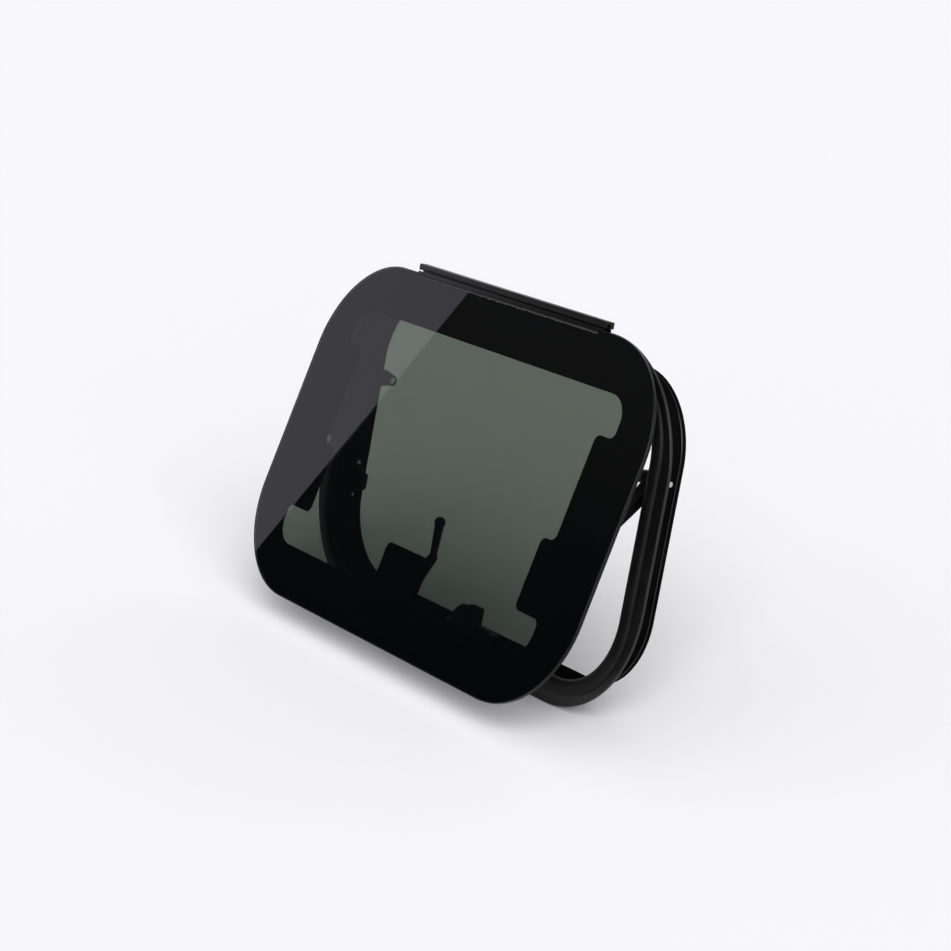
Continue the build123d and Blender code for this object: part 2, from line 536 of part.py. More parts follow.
nodes = {
    "frame_ring": flange_plate() + bent(spigot_section()),
    "frame_seal": bent(seal_section()),
    "hinge_frame_leaf": hinge_frame_leaf(),
    "hinge_sash_leaf": hinge_sash_leaf(),
    "glass_pane": glass_pane(),
    "frit_border": frit_border(),
    "latch_keeper": latch_keeper(),
    "latch_base": latch_base(),
    "latch_lever": latch_lever(),
}
for name, make in (
    ("stay_post", stay_post),
    ("stay_knob", stay_knob),
    ("stay_arm", stay_arm),
    ("stay_pin", stay_pin),
    ("stay_rail", stay_rail),
    ("side_lug", side_lug),
):
    right = make()
    nodes[name + "_right"] = right
    nodes[name + "_left"] = mirrored(right)

os.makedirs("parts", exist_ok=True)
for name, shape in nodes.items():
    export_step(shape, f"parts/{name}.step")

for angle in (0, OPEN_ANGLE, FULL_ANGLE):
    along, turn = stay_reach(angle)
    print(f"sash {angle:5.1f} deg: pin {along:7.2f} mm below the glass centre, arm {turn:6.2f} deg from straight down")
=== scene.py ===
"""Looks of a top-hung caravan window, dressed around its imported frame.

Metres, in the frame's own axes: X to the right seen from outside, Y into the caravan, Z up.
"""
import json
import logging
import math
from collections.abc import Callable
from dataclasses import dataclass
from enum import Enum
from typing import ClassVar

import bmesh
import bpy
from mathutils import Matrix, Vector, noise


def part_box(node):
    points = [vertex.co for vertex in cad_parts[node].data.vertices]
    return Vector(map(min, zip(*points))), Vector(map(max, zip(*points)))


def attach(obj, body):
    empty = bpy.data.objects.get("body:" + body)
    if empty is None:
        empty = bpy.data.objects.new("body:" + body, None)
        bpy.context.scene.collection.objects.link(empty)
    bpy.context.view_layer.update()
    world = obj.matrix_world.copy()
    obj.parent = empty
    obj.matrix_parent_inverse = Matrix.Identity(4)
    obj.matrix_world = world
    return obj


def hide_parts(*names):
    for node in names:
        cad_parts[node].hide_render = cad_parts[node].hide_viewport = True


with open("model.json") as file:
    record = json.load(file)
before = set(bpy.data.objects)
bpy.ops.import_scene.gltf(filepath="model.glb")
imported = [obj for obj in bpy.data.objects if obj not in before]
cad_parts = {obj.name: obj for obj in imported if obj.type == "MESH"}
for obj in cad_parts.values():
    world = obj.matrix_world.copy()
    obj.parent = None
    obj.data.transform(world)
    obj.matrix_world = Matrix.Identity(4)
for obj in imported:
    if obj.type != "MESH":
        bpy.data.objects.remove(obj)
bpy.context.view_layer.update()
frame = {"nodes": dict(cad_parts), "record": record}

MM = 0.001
WELD_M = 1e-6                           # corners nearer than this are one corner
FLAT_DEG = 0.4                          # facets that turn by less than this are one flat
CREASE_DEG = 32.0                       # edges that turn by more than this stay sharp
SIDES = (("left", -1), ("right", 1))
LOG = logging.getLogger("caravan_window")


class Body(Enum):
    """Rigid bodies that pieces ride on."""

    FRAME = "frame"
    SASH = "sash"
    STAY_LEFT = "stay_left"
    STAY_RIGHT = "stay_right"
    LATCH = "latch"


class Slot(Enum):
    """Material slots of the record."""

    FRAME = "frame_aluminium"
    SEAL = "seal_rubber"
    HINGE = "hinge_aluminium"
    GLASS = "tinted_glass"
    FRIT = "frit_print"
    NYLON = "black_nylon"
    STEEL = "bright_steel"


def linear(hex_colour: str) -> tuple[float, float, float, float]:
    """Turn an sRGB hex colour into linear light.

    Args:
        hex_colour: Six hex digits, such as "f4f3f6".

    Returns:
        Linear red, green and blue, with an alpha of 1.
    """
    channels = [int(hex_colour[i:i + 2], 16) / 255 for i in (0, 2, 4)]
    light = [c / 12.92 if c <= 0.04045 else ((c + 0.055) / 1.055) ** 2.4 for c in channels]
    return (*light, 1.0)


def add_node(tree: bpy.types.NodeTree, kind: str, inputs: dict[str | int, object] | None = None,
             **settings: object) -> bpy.types.Node:
    """Add a node, set its properties, and fill or link its inputs.

    Args:
        tree: Node tree that takes the node.
        kind: Blender's identifier of the node.
        inputs: Values, or output sockets to link, by input name or index.
        **settings: Properties of the node itself.

    Returns:
        The new node.
    """
    node = tree.nodes.new(kind)
    for key, value in settings.items():
        setattr(node, key, value)
    for key, value in (inputs or {}).items():
        if isinstance(value, bpy.types.NodeSocket):
            tree.links.new(value, node.inputs[key])
        else:
            node.inputs[key].default_value = value
    return node


def new_material(name: str) -> tuple[bpy.types.Material, bpy.types.NodeTree, bpy.types.Node]:
    """Start an empty node material.

    Args:
        name: Name of the material.

    Returns:
        The material, its node tree and its output node.
    """
    material = bpy.data.materials.new(name)
    material.use_nodes = True
    tree = material.node_tree
    tree.nodes.clear()
    return material, tree, add_node(tree, "ShaderNodeOutputMaterial")


def per_metre(size_mm: float) -> float:
    """Scale of a texture whose features measure size_mm."""
    return 1 / (size_mm * MM)


@dataclass(frozen=True)
class TintedGlass:
    """Toughened float glass, dyed grey-green: clear, polished, with the faint roller wave of the furnace."""

    name: str = "tinted_toughened_glass"
    tint: str = "636c62"
    ior: float = 1.52
    wave_mm: float = 130.0
    wave_height_mm: float = 0.012
    smear_mm: float = 60.0
    smear_span: tuple[float, float] = (0.45, 0.75)      # of the noise, from clean to smeared
    smear_roughness: float = 0.012

    def build(self) -> bpy.types.Material:
        """Make the glass material."""
        material, tree, output = new_material(self.name)
        place = add_node(tree, "ShaderNodeTexCoord")
        wave = add_node(tree, "ShaderNodeTexNoise", {
            "Vector": place.outputs["Object"], "Scale": per_metre(self.wave_mm), "Detail": 0.0})
        bump = add_node(tree, "ShaderNodeBump", {
            "Height": wave.outputs["Fac"], "Strength": 1.0, "Distance": self.wave_height_mm * MM})
        smear = add_node(tree, "ShaderNodeTexNoise", {
            "Vector": place.outputs["Object"], "Scale": per_metre(self.smear_mm), "Detail": 2.0})
        clean, smeared = self.smear_span
        polish = add_node(tree, "ShaderNodeMapRange", {
            "Value": smear.outputs["Fac"], "From Min": clean, "From Max": smeared,
            "To Min": 0.0, "To Max": self.smear_roughness})
        glass = add_node(tree, "ShaderNodeBsdfPrincipled", {
            "Base Color": linear(self.tint), "Roughness": polish.outputs["Result"], "IOR": self.ior,
            "Transmission Weight": 1.0, "Normal": bump.outputs["Normal"]})
        tree.links.new(glass.outputs[0], output.inputs["Surface"])
        return material


@dataclass(frozen=True)
class GrainedFinish:
    """Opaque finish with a fine grain in relief and slow patches in its tone and gloss."""

    name: str
    tone: str
    patch_tone: str
    roughness: float
    patch_roughness: float
    grain_mm: float
    grain_height_mm: float
    patch_mm: float
    metallic: float = 0.0
    specular: float = 0.5
    stretch: tuple[float, float, float] = (1.0, 1.0, 1.0)
    tone_span: tuple[float, float] = (0.35, 0.7)        # of the coarse noise, from plain to patch
    gloss_span: tuple[float, float] = (0.3, 0.7)

    def build(self) -> bpy.types.Material:
        """Make the material from one fine and one coarse noise."""
        material, tree, output = new_material(self.name)
        place = add_node(tree, "ShaderNodeTexCoord")
        drawn = add_node(tree, "ShaderNodeMapping", {
            "Vector": place.outputs["Object"], "Scale": self.stretch})
        grain = add_node(tree, "ShaderNodeTexNoise", {
            "Vector": drawn.outputs["Vector"], "Scale": per_metre(self.grain_mm), "Detail": 3.0})
        patch = add_node(tree, "ShaderNodeTexNoise", {
            "Vector": drawn.outputs["Vector"], "Scale": per_metre(self.patch_mm), "Detail": 2.0})
        tone = add_node(tree, "ShaderNodeValToRGB", {"Fac": patch.outputs["Fac"]})
        stops = zip(tone.color_ramp.elements, self.tone_span, (self.tone, self.patch_tone))
        for stop, position, colour in stops:
            stop.position = position
            stop.color = linear(colour)
        plain, patchy = self.gloss_span
        gloss = add_node(tree, "ShaderNodeMapRange", {
            "Value": patch.outputs["Fac"], "From Min": plain, "From Max": patchy,
            "To Min": self.roughness, "To Max": self.patch_roughness})
        bump = add_node(tree, "ShaderNodeBump", {
            "Height": grain.outputs["Fac"], "Strength": 1.0, "Distance": self.grain_height_mm * MM})
        shader = add_node(tree, "ShaderNodeBsdfPrincipled", {
            "Base Color": tone.outputs["Color"], "Roughness": gloss.outputs["Result"],
            "Metallic": self.metallic, "Specular IOR Level": self.specular, "Normal": bump.outputs["Normal"]})
        tree.links.new(shader.outputs[0], output.inputs["Surface"])
        return material


Finish = TintedGlass | GrainedFinish

# Clear, dyed and polished: what lies behind shows dim and greenish, and the room shows faintly on it
TINTED_GLASS = TintedGlass()
# Powder coat over the bent extrusion: satin black, with the slight orange peel of the oven
BLACK_COAT = GrainedFinish(
    "black_powder_coat", "0b0b0c", "101011", roughness=0.36, patch_roughness=0.44,
    grain_mm=1.1, grain_height_mm=0.012, patch_mm=45.0, specular=0.4)
# Painted shade on the faces behind the flange, on the part that goes into the wall: a darker black than the
# coat that mirrors nothing
PAINTED_SHADE_BLACK = GrainedFinish(
    "painted_shade_black", "080808", "0c0c0c", roughness=0.6, patch_roughness=0.7,
    grain_mm=0.8, grain_height_mm=0.02, patch_mm=30.0, specular=0.0)
# Edge of the pane, ground and polished by a wheel: dark, with a soft line of light
GROUND_RIM = GrainedFinish(
    "ground_glass_rim", "090b0a", "0f1211", roughness=0.28, patch_roughness=0.36,
    grain_mm=0.5, grain_height_mm=0.006, patch_mm=8.0, specular=0.16)
# Extruded rubber: dull, finely grained, with a grey bloom in patches
SEAL_RUBBER = GrainedFinish(
    "extruded_seal_rubber", "080909", "0d0e0e", roughness=0.48, patch_roughness=0.58,
    grain_mm=0.5, grain_height_mm=0.014, patch_mm=18.0, specular=0.2)
# Drawn and black anodised: fine lines along the profile
BLACK_ANODISED = GrainedFinish(
    "black_anodised_extrusion", "0c0b0a", "13110f", roughness=0.32, patch_roughness=0.42,
    grain_mm=0.5, grain_height_mm=0.008, patch_mm=12.0, specular=0.22, stretch=(0.02, 1.0, 1.0))
# Glass-filled nylon, moulded in an eroded tool: matt and finely pitted
BLACK_NYLON = GrainedFinish(
    "moulded_black_nylon", "070707", "0a0a0b", roughness=0.52, patch_roughness=0.62,
    grain_mm=0.6, grain_height_mm=0.02, patch_mm=9.0, specular=0.16)
# Screen-printed enamel, fired into the glass: deep black with hardly any sheen of its own under the glass
FIRED_ENAMEL = GrainedFinish(
    "fired_black_enamel", "030304", "040405", roughness=0.45, patch_roughness=0.55,
    grain_mm=0.9, grain_height_mm=0.0003, patch_mm=30.0, specular=0.1)
# Zinc-plated steel: bright, with a light tumbled texture
BRIGHT_STEEL = GrainedFinish(
    "zinc_plated_steel", "b9b8b4", "cfcdc8", roughness=0.22, patch_roughness=0.34,
    grain_mm=0.4, grain_height_mm=0.01, patch_mm=2.5, metallic=1.0)
# Blacked steel of the screws in the stay posts and the keeper: only a dull glint
BLACKED_STEEL = GrainedFinish(
    "blacked_steel", "1a1918", "242220", roughness=0.34, patch_roughness=0.46,
    grain_mm=0.4, grain_height_mm=0.01, patch_mm=2.5, metallic=1.0)
# Cured polyurethane sealant, tooled with a finger: dark grey, rough and uneven
SEALANT = GrainedFinish(
    "cured_black_sealant", "262523", "3a3835", roughness=0.55, patch_roughness=0.75,
    grain_mm=0.7, grain_height_mm=0.09, patch_mm=3.0)


class Wardrobe:
    """Materials made so far, one for each finish."""

    made: ClassVar[dict[str, bpy.types.Material]] = {}

    @classmethod
    def material(cls, finish: Finish) -> bpy.types.Material:
        """The material of a finish, made on its first use."""
        if finish.name not in cls.made:
            cls.made[finish.name] = finish.build()
        return cls.made[finish.name]


def joint(name: str) -> dict:
    """The record's entry of a joint."""
    return next(entry for entry in frame["record"]["behaviour"]["joints"] if entry["name"] == name)


def crisp_copy(node: str, soften_mm: float = 0.0) -> bmesh.types.BMesh:
    """Copy a CAD node as one closed surface, with its flats whole.

    Args:
        node: Name of the CAD node.
        soften_mm: Width of the round put on its sharp edges, or 0 for none.

    Returns:
        The copied shape.
    """
    shape = bmesh.new()
    shape.from_mesh(frame["nodes"][node].data)
    bmesh.ops.remove_doubles(shape, verts=shape.verts, dist=WELD_M)
    flat = math.radians(FLAT_DEG)
    bmesh.ops.dissolve_limit(shape, angle_limit=flat, verts=shape.verts, edges=shape.edges)
    if soften_mm:
        crease = math.radians(CREASE_DEG)
        sharp = [edge for edge in shape.edges if edge.is_manifold and edge.calc_face_angle() > crease]
        bmesh.ops.bevel(shape, geom=sharp, offset=soften_mm * MM, offset_type="OFFSET", segments=2,
                        profile=0.5, affect="EDGES", material=-1, clamp_overlap=True)
    return shape


def add_piece(shape: bmesh.types.BMesh, name: str, body: Body, finish: Finish,
              stands_for: str = "", crease_deg: float = CREASE_DEG, other_finish: Finish | None = None,
              other_faces: Callable[[bmesh.types.BMFace], bool] | None = None) -> bpy.types.Object:
    """Make a finished piece of the window from a shape.

    Args:
        shape: The piece's surface, in place, which is used up.
        name: Name of the piece.
        body: Body that it rides on.
        finish: What it is made of.
        stands_for: CAD node that it replaces, if any.
        crease_deg: Edges that turn by more than this stay sharp.
        other_finish: Second finish of the piece, if it has one.
        other_faces: Says which faces take the second finish.

    Returns:
        The new object.
    """
    for face in shape.faces:
        face.smooth = True
        face.material_index = int(other_faces is not None and other_faces(face))
    for edge in shape.edges:
        edge.smooth = edge.is_manifold and edge.calc_face_angle() < math.radians(crease_deg)
    mesh = bpy.data.meshes.new(name)
    shape.to_mesh(mesh)
    shape.free()
    if "custom_normal" in mesh.attributes:
        mesh.attributes.remove(mesh.attributes["custom_normal"])
    for worn in filter(None, (finish, other_finish)):
        mesh.materials.append(Wardrobe.material(worn))
    piece = bpy.data.objects.new(name, mesh)
    bpy.context.scene.collection.objects.link(piece)
    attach(piece, body.value)
    if stands_for:
        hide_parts(stands_for)
    LOG.info("%s on %s, in %s", name, body.value, finish.name)
    return piece


def stood(shape: bmesh.types.BMesh, seat: Vector, axis: Vector) -> bmesh.types.BMesh:
    """Stand a shape made along Z on a seat, pointing along an axis.

    Args:
        shape: The shape, based on the origin.
        seat: Where its base goes.
        axis: Where its Z axis points.

    Returns:
        The same shape, moved.
    """
    turn = axis.to_track_quat("Z", "Y").to_matrix().to_4x4()
    bmesh.ops.transform(shape, matrix=Matrix.Translation(seat) @ turn, verts=shape.verts)
    return shape


def turned(profile_mm: list[tuple[float, float]], steps: int) -> bmesh.types.BMesh:
    """Turn a profile of radius and height about Z, closed at both ends.

    Args:
        profile_mm: Points from the axis at the top down to the base's edge.
        steps: Flats round the axis.

    Returns:
        The turned shape.
    """
    shape = bmesh.new()
    points = [shape.verts.new((radius * MM, 0, height * MM)) for radius, height in profile_mm]
    line = [shape.edges.new(pair) for pair in zip(points, points[1:])]
    bmesh.ops.spin(shape, geom=points + line, cent=(0, 0, 0), axis=(0, 0, 1), angle=math.tau, steps=steps,
                   use_merge=True)
    bmesh.ops.remove_doubles(shape, verts=shape.verts, dist=WELD_M)
    bmesh.ops.holes_fill(shape, edges=[edge for edge in shape.edges if edge.is_boundary], sides=0)
    bmesh.ops.recalc_face_normals(shape, faces=shape.faces)
    return shape


@dataclass(frozen=True)
class CrossScrew:
    """Domed screw head with a cross recess."""

    radius_mm: float
    height_mm: float
    steps: int = 32
    middle_share: float = 0.18          # of the radius, where the cross's arms meet
    recess_share: float = 0.6           # of the radius, out to the arms' ends
    recess_depth_share: float = 0.6     # of the height
    half_arm_flats: float = 1.1         # half an arm's width, in flats of the head
    cross_floor_share: float = 0.5      # of the height, above which faces may sink

    def shape(self) -> bmesh.types.BMesh:
        """Turn the dome and sink the cross into it."""
        dome = [(0.0, 1.0), (self.middle_share, 1.0), (self.recess_share, 0.93), (0.86, 0.68), (1.0, 0.25),
                (1.0, 0.0)]
        head = turned([(r * self.radius_mm, h * self.height_mm) for r, h in dome], self.steps)
        quarter = math.pi / 2
        half_arm = self.half_arm_flats * math.tau / self.steps
        cross = []
        for face in head.faces:
            centre = face.calc_center_median()
            off_arm = abs((math.atan2(centre.y, centre.x) + quarter / 2) % quarter - quarter / 2)
            out = math.hypot(centre.x, centre.y) / (self.radius_mm * MM)
            near = out < self.middle_share or (out < self.recess_share and off_arm < half_arm)
            if near and centre.z > self.cross_floor_share * self.height_mm * MM:
                cross.append(face)
        sunk = bmesh.ops.extrude_face_region(head, geom=cross)["geom"]
        floor = [part for part in sunk if isinstance(part, bmesh.types.BMVert)]
        depth = Vector((0, 0, -self.recess_depth_share * self.height_mm * MM))
        bmesh.ops.translate(head, verts=floor, vec=depth)
        return head

    def add(self, name: str, body: Body, seat: Vector, axis: Vector, finish: GrainedFinish) -> None:
        """Add one screw on its seat."""
        add_piece(stood(self.shape(), seat, axis), name, body, finish)


@dataclass
class GlazedSash:
    """Tinted pane with the fired border behind it."""

    fused_mm: float = 0.03              # how far the fired print goes into the glass
    flat_cosine: float = 0.9            # faces square to the pane within this are its two flats

    def build(self) -> None:
        """Copy the pane and its print with true flats, so that the mirror image on them runs straight."""
        outwards = Vector(joint("latch_turn")["axis"]).normalized()

        def is_rim(face: bmesh.types.BMFace) -> bool:
            """Whether a face belongs to the pane's edge."""
            return abs(face.normal.dot(outwards)) < self.flat_cosine

        add_piece(crisp_copy("glass_pane"), "tinted_pane", Body.SASH, TINTED_GLASS, "glass_pane",
                  other_finish=GROUND_RIM, other_faces=is_rim)
        print_layer = crisp_copy("frit_border")
        bmesh.ops.translate(print_layer, verts=print_layer.verts, vec=outwards * self.fused_mm * MM)
        add_piece(print_layer, "printed_border", Body.SASH, FIRED_ENAMEL, "frit_border")


@dataclass
class BentFrame:
    """Bent and powder-coated frame with the bulb seal on its flange."""

    seal_crease_deg: float = 60.0       # the bulb's facets read as one round
    lip_edge_mm: float = 27.9           # middle of the rear lip's broken front edge, left out of the painted shade so that it keeps the coat's sheen
    lip_edge_reach_mm: float = 0.3

    def is_painted_shade(self, face: bmesh.types.BMFace) -> bool:
        """Whether a face lies behind the flange, where shade is painted, and isn't the front edge of the rear
        lip.
        """
        depth = face.calc_center_median().y
        reach = self.lip_edge_reach_mm * MM
        return depth > reach and abs(depth - self.lip_edge_mm * MM) > reach

    def build(self) -> None:
        """Copy the frame, with painted shade (a darker black that mirrors nothing) behind the flange, and
        round off the seal's look.
        """
        # Faces behind the flange take painted shade: a darker black than the coat, mirroring nothing
        add_piece(crisp_copy("frame_ring"), "bent_frame", Body.FRAME, BLACK_COAT, "frame_ring",
                  other_finish=PAINTED_SHADE_BLACK, other_faces=self.is_painted_shade)
        add_piece(crisp_copy("frame_seal"), "bulb_seal", Body.FRAME, SEAL_RUBBER, "frame_seal",
                  self.seal_crease_deg)


@dataclass
class BeadHinge:
    """Hooded leaf on the frame, beaded leaf on the glass and the sealant that bonds it."""

    soften_mm: float = 0.2
    rivets: int = 5
    rivet_steps: int = 24
    rivet_radius_mm: float = 2.6
    rivet_height_mm: float = 0.35
    rivet_rise_mm: float = 3.6          # above the leaf's lower edge
    leaf_front_mm: float = -4.0
    open_deg: float = 13.5
    outer_face_mm: float = -10.86       # of the closed glass
    lip_bottom_mm: float = 170.9        # of the lip over the closed glass's top edge
    sealant_width_mm: float = 2.2
    sealant_height_mm: float = 0.7
    sealant_runs: int = 150
    sealant_rows: int = 6
    sealant_crease_deg: float = 80.0
    waver_mm: float = 7.0               # length of a waver in the bead's width
    waver_slice: float = 3.0            # place in the noise
    mean_share: float = 0.95            # of the width, and how far it wavers
    waver_share: float = 0.5
    lump_mm: float = 2.1
    lump_rows: float = 6.0
    lump_slice: float = 5.0
    lump_share: float = 0.6             # of the height

    def build_leaves(self) -> None:
        """Copy both leaves with their drawn edges softened."""
        add_piece(crisp_copy("hinge_frame_leaf", self.soften_mm), "hooded_leaf", Body.FRAME,
                  BLACK_ANODISED, "hinge_frame_leaf")
        add_piece(crisp_copy("hinge_sash_leaf", self.soften_mm), "beaded_leaf", Body.SASH,
                  BLACK_ANODISED, "hinge_sash_leaf")

    def build_rivets(self) -> None:
        """Set a row of flush rivets along the frame's leaf."""
        low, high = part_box("hinge_frame_leaf")
        profile = [(0.0, 1.0), (0.8, 0.9), (1.0, 0.0)]
        profile_mm = [(r * self.rivet_radius_mm, h * self.rivet_height_mm) for r, h in profile]
        outwards = Vector((0, -1, 0))
        for place in range(self.rivets):
            across = low.x + (high.x - low.x) * (place + 0.5) / self.rivets
            seat = Vector((across, self.leaf_front_mm * MM, low.z + self.rivet_rise_mm * MM))
            rivet = stood(turned(profile_mm, self.rivet_steps), seat, outwards)
            add_piece(rivet, f"leaf_rivet_{place + 1}", Body.FRAME, BLACK_ANODISED)

    def build_sealant(self) -> None:
        """Run an uneven bead of sealant under the lip, on the glass's outer face."""
        low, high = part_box("hinge_sash_leaf")
        length = high.x - low.x
        shape = bmesh.new()
        bmesh.ops.create_grid(shape, x_segments=self.sealant_runs, y_segments=self.sealant_rows, size=0.5)
        for vert in shape.verts:
            run = vert.co.x * length
            down = 0.5 - vert.co.y
            waver = noise.noise(Vector((run / (self.waver_mm * MM), self.waver_slice, 0.0)))
            lump = noise.noise(Vector((run / (self.lump_mm * MM), self.lump_rows * down, self.lump_slice)))
            width = self.sealant_width_mm * (self.mean_share + self.waver_share * waver)
            crown = max(4 * down * (1 - down), 0.0)
            proud = self.sealant_height_mm * crown * (1 + self.lump_share * lump)
            depth_mm = self.outer_face_mm - proud
            rise_mm = self.lip_bottom_mm - down * width
            vert.co = Vector((run, depth_mm * MM, rise_mm * MM))
        hinge = Vector(joint("sash_hinge")["pos_m"])
        swing = Matrix.Rotation(math.radians(self.open_deg), 4, Vector((-1, 0, 0)))
        opened = Matrix.Translation(hinge) @ swing @ Matrix.Translation(-hinge)
        bmesh.ops.transform(shape, matrix=opened, verts=shape.verts)
        bmesh.ops.recalc_face_normals(shape, faces=shape.faces)
        add_piece(shape, "hinge_sealant", Body.SASH, SEALANT, crease_deg=self.sealant_crease_deg)

    def build(self) -> None:
        """Build the hinge's leaves, rivets and sealant."""
        self.build_leaves()
        self.build_rivets()
        self.build_sealant()


@dataclass
class SlottedStay:
    """One stay: post and thumb knob on the jamb, arm, pin, and the slotted rail on the glass."""

    side: str
    sign: int
    soften_mm: float = 0.3
    plate_screw: CrossScrew = CrossScrew(2.5, 1.0)
    plate_screw_offset_mm: float = 10.6
    plate_thickness_mm: float = 2.0
    tip_screw: CrossScrew = CrossScrew(3.3, 1.0)
    wall_mm: float = 2.5
    stud_end_mm: tuple[tuple[float, float], ...] = ((0.0, 1.3), (1.5, 1.15), (2.5, 0.6), (2.8, 0.0))
    stud_end_steps: int = 32
    stud_end_back_mm: float = 3.0       # from the post's middle
    stud_end_rise_mm: float = 1.2

    def build_stay(self) -> None:
        """Copy the stay's own pieces with softened edges."""
        arm = Body.STAY_LEFT if self.sign < 0 else Body.STAY_RIGHT
        for node, body, slot, finish in (
            ("stay_post", Body.FRAME, Slot.NYLON, BLACK_NYLON),
            ("stay_knob", Body.FRAME, Slot.NYLON, BLACK_NYLON),
            ("stay_arm", arm, Slot.NYLON, BLACK_NYLON),
            ("stay_pin", arm, Slot.STEEL, BRIGHT_STEEL),
            ("stay_rail", Body.SASH, Slot.HINGE, BLACK_ANODISED),
        ):
            name = f"{node}_{self.side}"
            add_piece(crisp_copy(name, self.soften_mm), f"{name}_soft", body, finish, name)

    def build_fixings(self) -> None:
        """Add the post's screws, the knob's screw and the stud's end on the frame's outer wall."""
        low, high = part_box(f"stay_post_{self.side}")
        jamb = self.sign * max(abs(low.x), abs(high.x))
        middle = (low + high) / 2
        inwards = Vector((-self.sign, 0, 0))
        plate = jamb - self.sign * self.plate_thickness_mm * MM
        for name, rise in (("upper", 1), ("lower", -1)):
            seat = Vector((plate, middle.y, middle.z + rise * self.plate_screw_offset_mm * MM))
            self.plate_screw.add(f"post_screw_{name}_{self.side}", Body.FRAME, seat, inwards, BLACKED_STEEL)
        knob_low, knob_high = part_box(f"stay_knob_{self.side}")
        tip = Vector((self.sign * min(abs(knob_low.x), abs(knob_high.x)), middle.y, middle.z))
        self.tip_screw.add(f"knob_screw_{self.side}", Body.FRAME, tip, inwards, BRIGHT_STEEL)
        seat = Vector((jamb + self.sign * self.wall_mm * MM, middle.y + self.stud_end_back_mm * MM,
                       middle.z + self.stud_end_rise_mm * MM))
        stud_end = stood(turned(list(self.stud_end_mm), self.stud_end_steps), seat, -inwards)
        add_piece(stud_end, f"stud_end_{self.side}", Body.FRAME, BRIGHT_STEEL)

    def build(self) -> None:
        """Build the stay and its fixings."""
        self.build_stay()
        self.build_fixings()


@dataclass
class JambLug:
    """One lug plate on the jamb and its two screws."""

    side: str
    sign: int
    soften_mm: float = 0.3
    screw: CrossScrew = CrossScrew(2.4, 1.1)
    plate_thickness_mm: float = 2.0
    upper_margin_mm: float = 4.4        # screw's middle inside the plate's top
    lower_margin_mm: float = 2.7        # screw's middle below the plate, on the jamb

    def build(self) -> None:
        """Build the plate, the lug and the screws."""
        node = f"side_lug_{self.side}"
        add_piece(crisp_copy(node, self.soften_mm), f"{node}_soft", Body.FRAME, BLACK_NYLON, node)
        low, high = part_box(node)
        jamb = self.sign * max(abs(low.x), abs(high.x))
        inwards = Vector((-self.sign, 0, 0))
        middle = (low.y + high.y) / 2
        plate = jamb - self.sign * self.plate_thickness_mm * MM
        upper = Vector((plate, middle, high.z - self.upper_margin_mm * MM))
        lower = Vector((jamb, middle, low.z - self.lower_margin_mm * MM))
        self.screw.add(f"lug_screw_upper_{self.side}", Body.FRAME, upper, inwards, BRIGHT_STEEL)
        self.screw.add(f"lug_screw_lower_{self.side}", Body.FRAME, lower, inwards, BRIGHT_STEEL)


@dataclass
class TurnLatch:
    """Latch housing and lever on the glass, and the keeper on the sill."""

    soften_mm: float = 0.3
    cap_screw: CrossScrew = CrossScrew(3.0, 0.9)
    foot_screw: CrossScrew = CrossScrew(3.0, 1.3)
    foot_thickness_mm: float = 2.5
    foot_screw_in_mm: float = 6.0       # from the foot's inner edge
    foot_screw_margin_mm: float = 11.0  # from the foot's ends

    def build(self) -> None:
        """Build the latch, its keeper and their screws."""
        carried = {"latch_keeper": Body.FRAME, "latch_base": Body.SASH, "latch_lever": Body.LATCH}
        for node, body in carried.items():
            add_piece(crisp_copy(node, self.soften_mm), f"{node}_soft", body, BLACK_NYLON, node)
        turn = joint("latch_turn")
        pivot = Vector(turn["pos_m"])
        inwards = -Vector(turn["axis"]).normalized()
        top = max(vert.co.dot(inwards) for vert in frame["nodes"]["latch_base"].data.vertices)
        seat = pivot + inwards * (top - pivot.dot(inwards))
        self.cap_screw.add("latch_cap_screw", Body.SASH, seat, inwards, BRIGHT_STEEL)
        low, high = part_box("latch_keeper")
        margin = self.foot_screw_margin_mm * MM
        upwards = Vector((0, 0, 1))
        for name, across in (("left", low.x + margin), ("right", high.x - margin)):
            seat = Vector((across, high.y - self.foot_screw_in_mm * MM, low.z + self.foot_thickness_mm * MM))
            self.foot_screw.add(f"keeper_screw_{name}", Body.FRAME, seat, upwards, BLACKED_STEEL)


